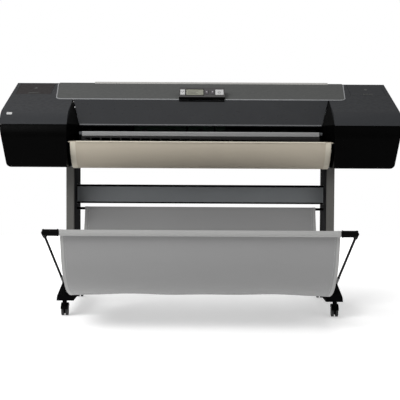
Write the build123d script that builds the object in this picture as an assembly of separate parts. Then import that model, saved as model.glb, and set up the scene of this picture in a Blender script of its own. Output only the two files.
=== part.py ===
from build123d import *
import math
import os

# Large format plotter on a wheeled stand with a cloth catch basket.
# Millimetres. X runs along the printer, -Y is the front, Z is up from the floor.
# Everything is laid out with y = 0 over the middle of the feet, and moved by ORIGIN_SHIFT
# when it is written, so that the origin is under the middle of the whole object.

# Driving dimensions of the printer body
BODY_HALF_WIDTH = 885.0
BODY_FOOT_HALF_WIDTH = 852.0
BODY_BASE = 647.0
BODY_TOP_CORNER = 1048.0
REAR = 270.0
NOSE = (-261.9, 870.9)
FRONT_FOOT = -238.0
SHELL = 3.0
PARTING = 835.0
SLOPE = (BODY_TOP_CORNER - NOSE[1]) / (REAR - NOSE[0])
BAY_HALF = 588.0
DECK_FRONT = -5.0
DECK_FRONT_HALF = 665.0
DECK_REAR_HALF = 685.0
GAP = 1.0

# Driving dimensions of the paper path
PLATEN_TOP = 805.0
FEED_ROLLER = (30.0, 784.9, 20.0)
PINCH_RADIUS = 8.0
PINCH_AXIS = (30.0, PLATEN_TOP + PINCH_RADIUS + 0.3)
SPINDLE = (-135.0, 724.0)
HUB_FLANGE_RADIUS = 48.0
SPINDLE_RADIUS = 14.0
CORE_RADIUS = 37.8
HUB_OUTER = 559.0

# Driving dimensions of the carriage
ROD = (40.0, 937.0, 8.0)
RAIL_HALF = 796.0
PULLEY = (85.0, 15.0)
PULLEY_X = 770.0
BELT_Z = (926.0, 938.0)
PARK_X = 690.0
CARRIAGE_HALF = 90.0

# Driving dimensions of the stand
LEG_X = 594.0
LEG_HALF = 19.0
LEG_Y = (-60.0, 175.0)
FOOT_HALF_LENGTH = 345.0
FOOT_BASE = 72.0
FOOT_TOP = 146.0
FOOT_HALF_BASE = 37.0
FOOT_HALF_CREST = 22.0
FOOT_X = 583.0
CASTER_Y = 300.0
CASTER_X = 590.0
CASTER_TRAIL = 14.0
WHEEL_RADIUS = 25.0

# Driving dimensions of the basket
BASKET_BAR = (-900.0, 411.0, 9.0)
BASKET_PIVOT = (-290.0, 145.0)
BASKET_REAR = (30.0, 452.0, 6.0)
BASKET_LOW = (-445.0, 114.0)
ARM_X = 596.0
ARM_RADIUS = 5.0
BAR_SPAN = 541.0
CONNECTOR_RADIUS = 13.0
CLOTH_HALF = 534.0

RUN_FIT = 0.05
FRONT_REACH = -(BASKET_BAR[0] - CONNECTOR_RADIUS)
ORIGIN_SHIFT = (FRONT_REACH - FOOT_HALF_LENGTH) / 2


# Building blocks

def block(x0, x1, y0, y1, z0, z1):
    """Box between two opposite corners."""
    centre = Pos((x0 + x1) / 2, (y0 + y1) / 2, (z0 + z1) / 2)
    return centre * Box(abs(x1 - x0), abs(y1 - y0), abs(z1 - z0))


def rod_x(x0, x1, y, z, radius):
    """Round bar along X."""
    return Pos((x0 + x1) / 2, y, z) * Cylinder(radius, abs(x1 - x0), rotation=(0, 90, 0))


def rod_y(y0, y1, x, z, radius):
    """Round bar along Y."""
    return Pos(x, (y0 + y1) / 2, z) * Cylinder(radius, abs(y1 - y0), rotation=(90, 0, 0))


def rod_z(z0, z1, x, y, radius):
    """Round bar along Z."""
    return Pos(x, y, (z0 + z1) / 2) * Cylinder(radius, abs(z1 - z0))


def slab(points, x0, x1, radius=None):
    """Solid with an outline in Y and Z, from x0 to x1. Its corners may be rounded."""
    if radius is None:
        outline = make_face(Polyline(*points, close=True))
    else:
        outline = make_face(FilletPolyline(*points, radius=radius, close=True))
    return Pos(x0, 0, 0) * extrude(Plane.YZ * outline, amount=x1 - x0)


def upright(points, z0, z1):
    """Solid with a plan outline in X and Y, from z0 to z1."""
    outline = make_face(Polyline(*points, close=True))
    return Pos(0, 0, z0) * extrude(outline, amount=z1 - z0)


def strut(start, end, radius):
    """Round bar between two points."""
    a, b = Vector(*start), Vector(*end)
    along = Plane(origin=a, z_dir=b - a)
    return extrude(along * Circle(radius), amount=(b - a).length)


def flipped(part):
    """The same piece on the other side of the printer."""
    return mirror(part, about=Plane.YZ)


def group(*parts):
    """Several separate solids that share one node."""
    return Compound([solid for part in parts for solid in part.solids()])


def both_sides(part):
    """A piece and its twin on the other side, as two separate solids."""
    return group(part, flipped(part))


def slope_z(y):
    """Height of the outer skin of the sloping top at a depth y."""
    return NOSE[1] + SLOPE * (y - NOSE[0])


# Printer body: one outer form, cut into shells

def body_form(inset):
    """Outer form of the printer body, made smaller by inset on every side."""
    side = FilletPolyline(
        (REAR, BODY_BASE), (REAR, BODY_TOP_CORNER), NOSE, (FRONT_FOOT, BODY_BASE),
        radius=[12, 8, 120, 15], close=True,
    )
    front = FilletPolyline(
        (-BODY_FOOT_HALF_WIDTH, BODY_BASE), (BODY_FOOT_HALF_WIDTH, BODY_BASE),
        (BODY_HALF_WIDTH, PARTING), (BODY_HALF_WIDTH, BODY_TOP_CORNER + 30),
        (-BODY_HALF_WIDTH, BODY_TOP_CORNER + 30), (-BODY_HALF_WIDTH, PARTING),
        radius=[22, 22, 300, 0, 0, 300], close=True,
    )
    side_face = make_face(side)
    front_face = make_face(front)
    if inset:
        side_face = offset(side_face, amount=-inset)
        front_face = offset(front_face, amount=-inset)
    along = extrude(Plane.YZ * side_face, amount=900, both=True)
    across = extrude(Plane.XZ * front_face, amount=400, both=True)
    return along & across


OUTER = body_form(0)
SKIN = OUTER - body_form(SHELL)


def deck_zone(grow):
    """Column over the raised top deck, wider by grow."""
    front, rear = DECK_FRONT_HALF + grow, DECK_REAR_HALF + grow
    y0 = DECK_FRONT - grow
    outline = FilletPolyline(
        (-front, y0), (front, y0), (rear, REAR + 20), (-rear, REAR + 20),
        radius=[26, 26, 0, 0], close=True,
    )
    return Pos(0, 0, PARTING + 60) * extrude(make_face(outline), amount=200)


INK_DOOR_HINGE_Y = 243.6
INK_DOOR_PIN = 0.9


def ink_door_zone(grow):
    """Column over the left ink door, wider by grow."""
    return block(-866 - grow, -702 + grow, 75 - grow, 245 + grow, PARTING, 1100)


def ink_door_pin(x0, x1, radius):
    """Wire pin along the hinge of the ink door, in the middle of the skin."""
    return rod_x(x0, x1, INK_DOOR_HINGE_Y, slope_z(INK_DOOR_HINGE_Y) - SHELL / 2, radius)


def top_cover():
    """Raised deck over the middle of the printer, 2.5 mm proud, with a flange behind."""
    raised = body_form(-2.5) - body_form(SHELL)
    deck = raised & deck_zone(-GAP / 2)
    below_ridge = block(-900, 900, 240, 300, 600, 1020)
    bore = block(-160, 160, -20, 20, 600, 900)
    return (deck - below_ridge) - bore


def left_end_cover():
    """Upper shell of the left end, from the parting line up, with its inner flange."""
    shell = SKIN & block(-900, -BAY_HALF, -300, 400, PARTING + GAP, 1100)
    shell = shell - deck_zone(GAP / 2)
    shell = shell - block(-900, 900, 252, 300, 600, 1020)
    shell = shell - ink_door_zone(0.6)
    shell = shell - ink_door_pin(-869, -699, INK_DOOR_PIN + RUN_FIT)
    rib = body_form(SHELL) & block(-BAY_HALF - 3, -BAY_HALF, -300, -9, PARTING + GAP, 1100)
    chord = slab([(-245, 835), (-25, 957), (0, 957), (0, 800), (-245, 800)], -600, -500)
    rib = rib - Pos(-20, 0, 0) * chord
    return shell + rib


def left_front_cover():
    """Lower black shell of the left end: front, side, floor and a short inner wall."""
    shell = SKIN & block(-900, -BAY_HALF, -300, 400, 600, PARTING)
    shell = shell - block(-900, 900, 252, 300, 600, 1100)
    shell = shell - block(-800.6, 0, -62, 300, 640, 655)
    wall = body_form(SHELL) & block(-BAY_HALF - 3, -BAY_HALF, -300, -178, 600, PARTING)
    return shell + wall


def rear_cover():
    """Back panel with vent slots and openings for the inlet and the switch."""
    panel = SKIN & block(-900, 900, 253, 300, 600, 1019)
    panel = panel - block(-800.6, 800.6, 240, 262, 640, 652)
    panel = panel - block(500, 548, 240, 300, 690, 716)
    panel = panel - block(560, 582, 240, 300, 688, 718)
    for column in range(3):
        for row in range(8):
            x = -560 + 400 * column
            z = 880 + 12 * row
            panel = panel - block(x - 60, x + 60, 240, 300, z, z + 4)
    for x in SCREW_X:
        for z in SCREW_Z:
            panel = panel - rod_y(240, 300, x, z, 2)
    return panel


SCREW_X = (-780, -390, 0, 390, 780)
SCREW_Z = (664, 1008)


def cover_screws():
    """Pan-head screws that hold the back panel."""
    screws = []
    for x in SCREW_X:
        for z in SCREW_Z:
            screws.append(rod_y(258, REAR, x, z, 2) + rod_y(REAR, REAR + 2.4, x, z, 4))
    return group(*screws)


def window_cheek():
    """Black facet beside the window, with the slanted wall below it."""
    outer_top = (-587.5, -25, 957)
    inner_low = (-545.5, -150, 836)
    outer_low = (-587.5, -245, 839)
    facet = wedge([outer_top, inner_low, outer_low], (0, 0, -4))
    wall = upright([(-587.5, -245), (-545.5, -150), (-545.5, -144), (-587.5, -239)], 763.5, 836)
    return facet + wall


def wedge(corners, drop):
    """Plate with a flat polygon on top, thickened by the vector drop."""
    face = Face(Wire.make_polygon([Vector(*c) for c in corners], close=True))
    return Solid.extrude(face, Vector(*drop))


# Window, doors and the front panel

WINDOW_TOP = (-13.5, 954.0)
WINDOW_LOW = (-150.0, 836.5)
WINDOW_HINGE = (-12.5, 949.5)


def window():
    """Flat smoked panel, narrower at its low edge, with a pull lip and hinge knuckles."""
    run = Vector(WINDOW_LOW[0] - WINDOW_TOP[0], WINDOW_LOW[1] - WINDOW_TOP[1])
    top, low = 584.0, 543.0
    face = Plane(origin=(0, WINDOW_TOP[0], WINDOW_TOP[1]), x_dir=(1, 0, 0), z_dir=(0, run.Y, -run.X))
    corners = [(-top, 0), (top, 0), (low, -run.length), (-low, -run.length)]
    pane = extrude(face * make_face(Polyline(*corners, close=True)), amount=-4 if face.z_dir.Z > 0 else 4)
    lip = slab([(-153, 834), (-150, 837.5), (-141, 845), (-138, 842), (-144, 832), (-150, 831)], -541, 541)
    knuckle = rod_x(-570, -530, WINDOW_HINGE[0], WINDOW_HINGE[1], 3.5)
    return pane + lip + knuckle + flipped(knuckle)


def left_ink_door():
    """Lid over the left ink cartridges, part of the sloping skin."""
    lid = SKIN & ink_door_zone(-0.6)
    lug = block(-790, -778, 224, 236, 1022, slope_z(224) - 1)
    pins = ink_door_pin(-868.5, -862, INK_DOOR_PIN) + ink_door_pin(-706, -699.5, INK_DOOR_PIN)
    return lid + lug + pins


ROLL_COVER_TOP = (-240.0, 763.0)
ROLL_COVER_LOW = (-100.0, 642.0)


def roll_cover():
    """Curved lower front panel in front of the paper roll, with end webs."""
    a, b = ROLL_COVER_TOP, ROLL_COVER_LOW
    chord = Vector(b[0] - a[0], b[1] - a[1])
    bulge = 30.0
    out = Vector(chord.Y, -chord.X).normalized()
    middle = Vector((a[0] + b[0]) / 2, (a[1] + b[1]) / 2) + out * bulge
    arc = ThreePointArc(a, (middle.X, middle.Y), b)
    skin = make_face(arc + Line(b, a))
    solid = extrude(Plane.YZ * skin, amount=575, both=True)
    inner = Pos(0, 2.2, 3.0) * solid
    hollow = inner & block(-572, 572, -400, 100, 500, 762)
    panel = solid - hollow
    panel = panel - slab([(-237, 763.5), (-97, 643), (-60, 643), (-60, 800), (-237, 800)], -572, 572)
    pins = rod_x(-583, 583, a[0] + 4, a[1] - 4, 2.5) - block(-573, 573, -300, 0, 700, 800)
    return panel + pins


# Paper path

def platen():
    """Flat print bed on two end brackets that carry the feed roller."""
    y, z, radius = FEED_ROLLER
    bed = block(-585, 585, -138, 5, PLATEN_TOP - 12, PLATEN_TOP)
    bed = bed + block(-540, 540, -185, -138, PLATEN_TOP - 12, PLATEN_TOP)
    rear = block(-585, 585, 55, 75, PLATEN_TOP - 12, PLATEN_TOP)
    bracket = slab([(-100, 650.1), (75, 650.1), (75, 805), (-100, 805)], -585, -579)
    tie = block(-585, 585, -60, -54, 760, PLATEN_TOP - 12)
    rib = bracket + flipped(bracket)
    return (bed + rear + tie + rib) - rod_x(-600, 600, y, z, 7 + RUN_FIT)


def feed_roller():
    """Rubber covered roller under the pinch wheels."""
    y, z, radius = FEED_ROLLER
    return rod_x(-578, 578, y, z, radius) + rod_x(-590, 590, y, z, 7)


PINCH_X = [-520 + 130 * i for i in range(9)]


def pinch_wheels():
    """Row of rubber wheels on one thin shaft."""
    y, z = PINCH_AXIS
    shaft = rod_x(-560, 560, y, z, 2.5)
    for x in PINCH_X:
        shaft = shaft + rod_x(x - 12, x + 12, y, z, PINCH_RADIUS)
    return shaft


def pinch_arms():
    """Arms that hang from the rail and hold the pinch shaft."""
    y, z = PINCH_AXIS
    arms = []
    for x in (-555, -325, -65, 65, 325, 555):
        arm = slab([(23, 808), (40, 808), (76, 836), (76, 849.5), (62, 849.5), (34, 826), (23, 820)], x - 4, x + 4)
        arms.append(arm - rod_x(x - 6, x + 6, y, z, 2.5 + RUN_FIT))
    return group(*arms)


def output_rail():
    """Silver rail under the paper exit."""
    outline = [(-201, 787), (-201, 803), (-198, 806), (-186, 806), (-186, 786), (-199, 785)]
    return slab(outline, -525, 525)


def output_guide():
    """Dark ribbed guide under the silver rail."""
    plate = slab([(-221, 766.5), (-221, 780), (-202, 784.5), (-186, 784.5), (-186, 780), (-216, 766.5)], -525, 525)
    for i in range(-11, 12):
        plate = plate + block(44 * i - 3, 44 * i + 3, -223.5, -220, 767, 780)
    return plate


def spindle_shaft():
    """Roll spindle with thinner end journals."""
    y, z = SPINDLE
    return rod_x(-585, 585, y, z, SPINDLE_RADIUS) + rod_x(-606, 606, y, z, 6)


def spindle_hubs():
    """Two hubs that hold the core of a roll, each with a flange."""
    y, z = SPINDLE
    hub = rod_x(-HUB_OUTER, -(HUB_OUTER - 54), y, z, CORE_RADIUS)
    hub = hub + rod_x(-(HUB_OUTER + 8), -HUB_OUTER, y, z, HUB_FLANGE_RADIUS)
    for i in range(6):
        angle = math.radians(60 * i)
        hole = rod_x(-600, -500, y + 26 * math.cos(angle), z + 26 * math.sin(angle), 6)
        hub = hub - hole
    hub = hub - rod_x(-600, -480, y, z, SPINDLE_RADIUS)
    return both_sides(hub)


def spindle_cradle():
    """Bracket with an open notch for the end of the spindle."""
    y, z = SPINDLE
    outline = [(-158, 700), (-158, 746), (-112, 746), (-112, 706), (-40, 690), (40, 690), (40, 650.1), (-70, 650.1)]
    plate = slab(outline, -604, -592)
    notch = rod_x(-610, -580, y, z, 6 + RUN_FIT) + block(-610, -580, y - 6.05, y + 6.05, z, z + 30)
    return plate - notch


# Carriage and its drive

def carriage_rail():
    """Hollow beam across the printer, the guide rod above it and the idler pin."""
    beam = block(-RAIL_HALF, RAIL_HALF, 60, 110, 850, 920)
    beam = beam - block(-RAIL_HALF, RAIL_HALF, 63, 107, 853, 917)
    post = block(PULLEY_X - 8, PULLEY_X + 8, 77, 93, 917, 921)
    pin = rod_z(917, 941, PULLEY_X, PULLEY[0], 3)
    rod = rod_x(-RAIL_HALF, RAIL_HALF, ROD[0], ROD[1], ROD[2])
    return group(beam + post + pin, rod)


def side_plate():
    """Steel plate that holds the ends of the beam and the rod."""
    outline = [(-60, 650.1), (125, 650.1), (125, 984), (30, 954), (-60, 924)]
    return slab(outline, -RAIL_HALF - 3, -RAIL_HALF)


def chassis_tray():
    """Floor pan that sits on the legs and carries the side plates."""
    pan = block(-800, 800, -60, 250, BODY_BASE, 650)
    front = block(-800, 800, -60, -57, 650, 668)
    rear = block(-800, 800, 247, 250, 650, 668)
    tray = pan + front + rear
    for side in (-1, 1):
        tray = tray - block(side * 578, side * 612, -61, -55, 650, 670)
        tray = tray - block(side * 649, side * 736, -61, -55, 650, 670)
        tray = tray - block(side * (RAIL_HALF - 0.1), side * (RAIL_HALF + 3.1), -61, 125.2, 650, 670)
    return tray


def pulley(x):
    """Toothed belt pulley with flanges and a plain bore."""
    y, radius = PULLEY
    wheel = rod_z(BELT_Z[0], BELT_Z[1], x, y, radius)
    for i in range(24):
        angle = math.radians(15 * i)
        wheel = wheel - rod_z(900, 960, x + radius * math.cos(angle), y + radius * math.sin(angle), 0.8)
    wheel = wheel + rod_z(BELT_Z[0] - 2, BELT_Z[0], x, y, radius + 2)
    wheel = wheel + rod_z(BELT_Z[1], BELT_Z[1] + 2, x, y, radius + 2)
    return wheel - rod_z(900, 960, x, y, 3 + RUN_FIT)


def carriage_belt():
    """Closed belt round both pulleys."""
    y, radius = PULLEY
    inner = radius + 0.3
    outer = inner + 1.4
    def ring(r):
        low, high = BELT_Z[0] + 1, BELT_Z[1] - 1
        ends = rod_z(low, high, -PULLEY_X, y, r) + rod_z(low, high, PULLEY_X, y, r)
        return ends + block(-PULLEY_X, PULLEY_X, y - r, y + r, low, high)
    return ring(outer) - ring(inner)


def drive_motors():
    """Belt motor above the drive pulley, and feed motor at the end of the roller."""
    y = PULLEY[0]
    can = rod_z(943, 972, -PULLEY_X, y - 12, 18)
    shaft = rod_z(921, 943, -PULLEY_X, y, 3)
    lug = block(-RAIL_HALF, -PULLEY_X, y - 20, y + 4, 962, 970)
    belt_motor = can + shaft + lug
    feed_y, feed_z, _ = FEED_ROLLER
    feed_motor = rod_x(592, 650, feed_y, feed_z, 18) + block(612, 648, feed_y - 16, feed_y + 16, 650.1, feed_z)
    return group(belt_motor, feed_motor)


def carriage():
    """Stepped carriage: head holder in front, body under the rod, belt clamp behind."""
    left, right = PARK_X - CARRIAGE_HALF, PARK_X + CARRIAGE_HALF
    outline = [
        (-115, 816), (-8, 816), (-8, 836), (42, 836), (42, 853), (56, 853),
        (56, 914), (-48, 914), (-62, 856), (-110, 856), (-115, 850),
    ]
    shell = slab(outline, left, right)
    for x in (PARK_X - 40, PARK_X + 40):
        shell = shell - block(x - 34, x + 34, -104, -20, 800, 846)
    lug = block(PARK_X - 60, PARK_X + 60, 26, 56, 914, 951)
    clamp = block(PARK_X - 20, PARK_X + 20, 56, 67.7, 923, 941)
    return (shell + lug + clamp) - rod_x(left, right, ROD[0], ROD[1], ROD[2] + RUN_FIT)


def print_heads():
    """Two print heads in the pockets of the carriage."""
    heads = []
    for x in (PARK_X - 40, PARK_X + 40):
        heads.append(block(x - 34, x + 34, -104, -20, 809, 846) - block(x - 26, x + 26, -96, -28, 808, 811))
    return group(*heads)


def service_station():
    """Cleaning unit under the parked carriage: case, wiper and two caps."""
    case = block(640, 745, -150, 4, 700, 792)
    foot = block(650, 735, -58, 4, 650.1, 700)
    wiper = block(646, 650, -110, -16, 792, 804)
    caps = block(662, 692, -100, -24, 792, 804) + block(700, 732, -100, -24, 792, 804)
    return case + foot + wiper + caps


def ink_station():
    """Open tray with walls between the cartridges."""
    tray = block(-864, -700, 128, 246, 838, 849)
    for i in range(5):
        x = -863 + 40 * i
        tray = tray + block(x, x + 2, 128, 246, 849, 905)
    return tray + block(-864, -700, 128, 130, 849, 905) + block(-797, -780, 128, 240, 820, 838)


def ink_cartridges():
    """Four ink cartridges a side, each with a rounded grip."""
    cartridges = []
    for side in (-1, 1):
        for i in range(4):
            x = side * (862 - 19 - 40 * i - 0.5)
            body = block(x - 18, x + 18, 132, 242, 849, 962)
            grip = block(x - 10, x + 10, 150, 225, 962, 974)
            cartridges.append(body + grip)
    return group(*cartridges)


def main_board():
    """Circuit board on its bracket, with a row of parts."""
    board = block(-320, 120, 222, 224, 690, 850)
    bracket = block(-300, 100, 216, 222, 650.1, 845)
    chips = block(-260, -200, 224, 232, 740, 800) + block(-120, -60, 224, 236, 720, 760)
    ports = block(20, 100, 224, 240, 700, 730)
    return board + bracket + chips + ports


def power_inlet():
    """Three-pin mains inlet set into the back panel."""
    case = block(500, 548, 240, REAR, 690, 716)
    flange = block(494, 554, REAR, REAR + 2, 684, 722)
    hollow = block(508, 540, 250, REAR + 4, 695, 711)
    shell = (case + flange) - hollow
    for x in (514, 524, 534):
        shell = shell + block(x - 1, x + 1, 249, 266, 700, 706)
    return shell


SWITCH_AXIS = (266.0, 703.0)


def power_switch():
    """Rocker that turns about a crosswise axis."""
    y, z = SWITCH_AXIS
    rocker = slab([(256, 692), (270, 690), (272.5, 703), (274, 716), (256, 714)], 561, 581)
    return rocker + rod_x(560.2, 581.8, y, z, 2.5)


# Control panel

PANEL_X = (-101.0, 111.0)
PANEL_FACE = ((-14.0, 968.0), (52.0, 1016.0))


def panel_plane(inset=0.0):
    """Plane of the sloping control face, with its origin at the low edge."""
    (y0, z0), (y1, z1) = PANEL_FACE
    normal = Vector(0, z0 - z1, y1 - y0)
    plane = Plane(origin=(0, y0, z0), x_dir=(1, 0, 0), z_dir=normal)
    return plane.offset(-inset)


def on_panel(x0, x1, v0, v1, low, high):
    """Block on the control face: v runs up the face, low and high along its normal."""
    local = block(x0, x1, v0, v1, low, high)
    return panel_plane().location * local


BUTTONS = {
    "select_button": (-95, -73, 20, 62),
    "menu_button": (20, 34, 26, 58),
    "cancel_button": (47, 61, 26, 58),
    "power_button": (67, 105, 20, 62),
}
DISPLAY = (-69, 12, 16, 66)


def control_panel():
    """Wedge housing for the display and the buttons."""
    (y0, z0), (y1, z1) = PANEL_FACE
    base = slope_z(8) + 3.0
    outline = [(y0, z0 - 6), (y0, z0), (y1, z1), (y1 + 14, z1 - 1), (108, slope_z(108) + 3), (8, base), (2, base - 1)]
    case = slab(outline, PANEL_X[0], PANEL_X[1])
    for x0, x1, v0, v1 in BUTTONS.values():
        case = case - on_panel(x0 - 0.4, x1 + 0.4, v0 - 0.4, v1 + 0.4, -4, 2)
    x0, x1, v0, v1 = DISPLAY
    return case - on_panel(x0, x1, v0, v1, -3, 2)


def display_screen():
    """Flat display set into the control face."""
    x0, x1, v0, v1 = DISPLAY
    return on_panel(x0, x1, v0, v1, -3, -0.6)


def panel_button(name):
    """Key cap that travels into the control face."""
    x0, x1, v0, v1 = BUTTONS[name]
    return on_panel(x0, x1, v0, v1, -2.2, 1.6)


# Stand

def left_leg():
    """Hollow sheet column of the stand."""
    x0, x1 = -LEG_X - LEG_HALF, -LEG_X + LEG_HALF
    column = block(x0, x1, LEG_Y[0], LEG_Y[1], FOOT_TOP, BODY_BASE)
    uprights = column.edges().filter_by(Axis.Z)
    column = fillet(uprights, 5)
    return column - block(x0 + 2.5, x1 - 2.5, LEG_Y[0] + 2.5, LEG_Y[1] - 2.5, FOOT_TOP, BODY_BASE)


def leg_covers():
    """Black cover plates on the inner faces of the legs."""
    inner = LEG_X - LEG_HALF
    plate = block(-inner, -inner + 2.5, LEG_Y[0] + 1, LEG_Y[1] - 4, FOOT_TOP + 6, BODY_BASE - 8)
    y, z, radius = BASKET_REAR
    plate = plate - block(-600, -500, 36, 79, 472, 566)
    plate = plate - rod_x(-600, -500, y, z, radius)
    return both_sides(plate)


def cross_brace():
    """Box beam between the legs with a recessed face and a lip along its top."""
    span = LEG_X - LEG_HALF
    beam = block(-span, span, 40, 75, 476, 562)
    beam = beam - block(-span + 6, span - 6, 39, 44, 483, 553)
    beam = beam - block(-span, span, 48, 72, 480, 558)
    return beam


def left_foot():
    """Arched foot, hollow from below, with caster bores and a lug for the basket arm."""
    reach, crest = FOOT_HALF_LENGTH, FOOT_TOP
    side = slab(
        [(-reach, FOOT_BASE), (-reach, 92), (-110, crest), (200, crest), (reach, 92), (reach, FOOT_BASE)],
        -650, -520, [2, 14, 160, 160, 14, 2],
    )
    x = -FOOT_X
    corners = [
        (x - FOOT_HALF_BASE, FOOT_BASE), (x + FOOT_HALF_BASE, FOOT_BASE),
        (x + FOOT_HALF_CREST, FOOT_TOP + 1), (x - FOOT_HALF_CREST - 9, FOOT_TOP + 1),
    ]
    section = extrude(Plane.XZ * make_face(Polyline(*corners, close=True)), amount=400, both=True)
    core_corners = [
        (x - FOOT_HALF_BASE + 5, FOOT_BASE - 1), (x + FOOT_HALF_BASE - 5, FOOT_BASE - 1),
        (x + FOOT_HALF_CREST - 5, FOOT_TOP), (x - FOOT_HALF_CREST - 4, FOOT_TOP),
    ]
    core = extrude(Plane.XZ * make_face(Polyline(*core_corners, close=True)), amount=400, both=True)
    core = core & slab([(-275, 60), (-275, 101), (-112, 140), (198, 140), (275, 110), (275, 60)], -650, -520)
    foot = (side & section) - core
    y, z = BASKET_PIVOT
    lug = slab([(y - 16, 95), (y - 11, z + 6), (y - 5, z + 11), (y + 5, z + 11), (y + 11, z + 6), (y + 16, 95)],
               -ARM_X + 6, -ARM_X + 16)
    pin = rod_x(-ARM_X - 6, -ARM_X + 6, y, z, 4)
    foot = foot + lug + pin
    for caster_y in (-CASTER_Y, CASTER_Y):
        foot = foot - rod_z(FOOT_BASE - 5, 86, -CASTER_X, caster_y, 5.5)
    return foot


def caster_places():
    """Name, X and Y of each caster."""
    return [
        ("front_left", -CASTER_X, -CASTER_Y), ("front_right", CASTER_X, -CASTER_Y),
        ("rear_left", -CASTER_X, CASTER_Y), ("rear_right", CASTER_X, CASTER_Y),
    ]


def caster_stems():
    """Steel pins with a washer under the feet."""
    stems = []
    for _, x, y in caster_places():
        stems.append(rod_z(50, 86, x, y, 5.5) + rod_z(69, FOOT_BASE, x, y, 14))
    return group(*stems)


def caster_fork(x, y):
    """Twin-wheel caster body: boss, middle web and curved guard."""
    axle_y = y + CASTER_TRAIL
    hood = rod_x(x - 16, x + 16, axle_y, WHEEL_RADIUS, 31) - rod_x(x - 20, x + 20, axle_y, WHEEL_RADIUS, 27.5)
    hood = hood & block(x - 16, x + 16, axle_y - 40, axle_y + 24, WHEEL_RADIUS + 6, 80)
    web = rod_x(x - 3, x + 3, axle_y, WHEEL_RADIUS, 29)
    web = web & block(x - 3, x + 3, axle_y - 40, axle_y + 40, 12, 80)
    boss = rod_z(44, 68, x, y, 10)
    body = hood + web + boss
    body = body - rod_z(49, 80, x, y, 5.5 + RUN_FIT)
    clear = rod_x(x + 3.4, x + 16, axle_y, WHEEL_RADIUS, 26) + rod_x(x - 16, x - 3.4, axle_y, WHEEL_RADIUS, 26)
    return body - clear - rod_x(x - 20, x + 20, axle_y, WHEEL_RADIUS, 3 + RUN_FIT)


def caster_wheel(x, y):
    """Pair of wheel discs on one axle."""
    axle_y = y + CASTER_TRAIL
    wheel = rod_x(x - 15, x + 15, axle_y, WHEEL_RADIUS, 3)
    for side in (-1, 1):
        disc = rod_x(x + side * 3.8, x + side * 14.5, axle_y, WHEEL_RADIUS, WHEEL_RADIUS)
        dish = rod_x(x + side * 12, x + side * 15, axle_y, WHEEL_RADIUS, 17)
        wheel = wheel + (disc - dish) + rod_x(x + side * 3.8, x + side * 15, axle_y, WHEEL_RADIUS, 6)
    return wheel


# Basket

def basket_rear_bar():
    """Thin bar between the legs that holds the back of the cloth."""
    y, z, radius = BASKET_REAR
    span = LEG_X - LEG_HALF
    return rod_x(-span, span, y, z, radius)


def arm_line(distance):
    """Point on the arm's axis, a distance from the pivot towards the front bar."""
    start = Vector(BASKET_PIVOT[0], BASKET_PIVOT[1])
    end = Vector(BASKET_BAR[0], BASKET_BAR[1])
    point = start + (end - start).normalized() * distance
    return point.X, point.Y


ARM_LENGTH = math.hypot(BASKET_BAR[0] - BASKET_PIVOT[0], BASKET_BAR[1] - BASKET_PIVOT[1])


def basket_front_bar():
    """Front tube with an elbow connector at each end, all one piece when joined."""
    y, z, radius = BASKET_BAR
    bar = rod_x(-BAR_SPAN, BAR_SPAN, y, z, radius)
    elbow = rod_x(-ARM_X - 4, -BAR_SPAN, y, z, CONNECTOR_RADIUS)
    collar_y, collar_z = arm_line(ARM_LENGTH - 42)
    elbow = elbow + strut((-ARM_X, y, z), (-ARM_X, collar_y, collar_z), 8.5)
    return bar + elbow + flipped(elbow)


def basket_arms():
    """Two rods from the front bar down to the pivots on the feet."""
    top_y, top_z = arm_line(ARM_LENGTH - 42)
    low_y, low_z = arm_line(6)
    rod = strut((-ARM_X, low_y, low_z), (-ARM_X, top_y, top_z), ARM_RADIUS)
    eye = rod_x(-ARM_X - 5, -ARM_X + 5, BASKET_PIVOT[0], BASKET_PIVOT[1], 10)
    arm = (rod + eye) - rod_x(-ARM_X - 9, -ARM_X + 9, BASKET_PIVOT[0], BASKET_PIVOT[1], 4 + RUN_FIT)
    return both_sides(arm)


def cloth_curve(lift):
    """Hanging line of the cloth, from the rear bar to just behind the front bar."""
    rear = (BASKET_REAR[0] - 3, BASKET_REAR[1] - 8 + lift * 0.2)
    front = (BASKET_BAR[0] + 14, BASKET_BAR[1] - 16 + lift * 0.2)
    low = (BASKET_LOW[0], BASKET_LOW[1] + lift)
    rear_mid = (-120.0 - lift * 1.2, 205.0 + lift)
    front_mid = (-745.0 + lift * 1.2, 188.0 + lift)
    return rear, rear_mid, low, front_mid, front


def basket_fabric():
    """Cloth of the basket as one thin hanging sheet."""
    lower = Spline(*cloth_curve(0))
    upper = Spline(*cloth_curve(4))
    closed = lower + Line(lower @ 1, upper @ 1) + upper + Line(upper @ 0, lower @ 0)
    return extrude(Plane.YZ * make_face(closed), amount=CLOTH_HALF, both=True)


# Writing

def write(name, part):
    """Moves a sub-part to the object's origin and writes it."""
    moved = Pos(0, ORIGIN_SHIFT, 0) * part
    export_step(moved, f"parts/{name}.step")


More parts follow.
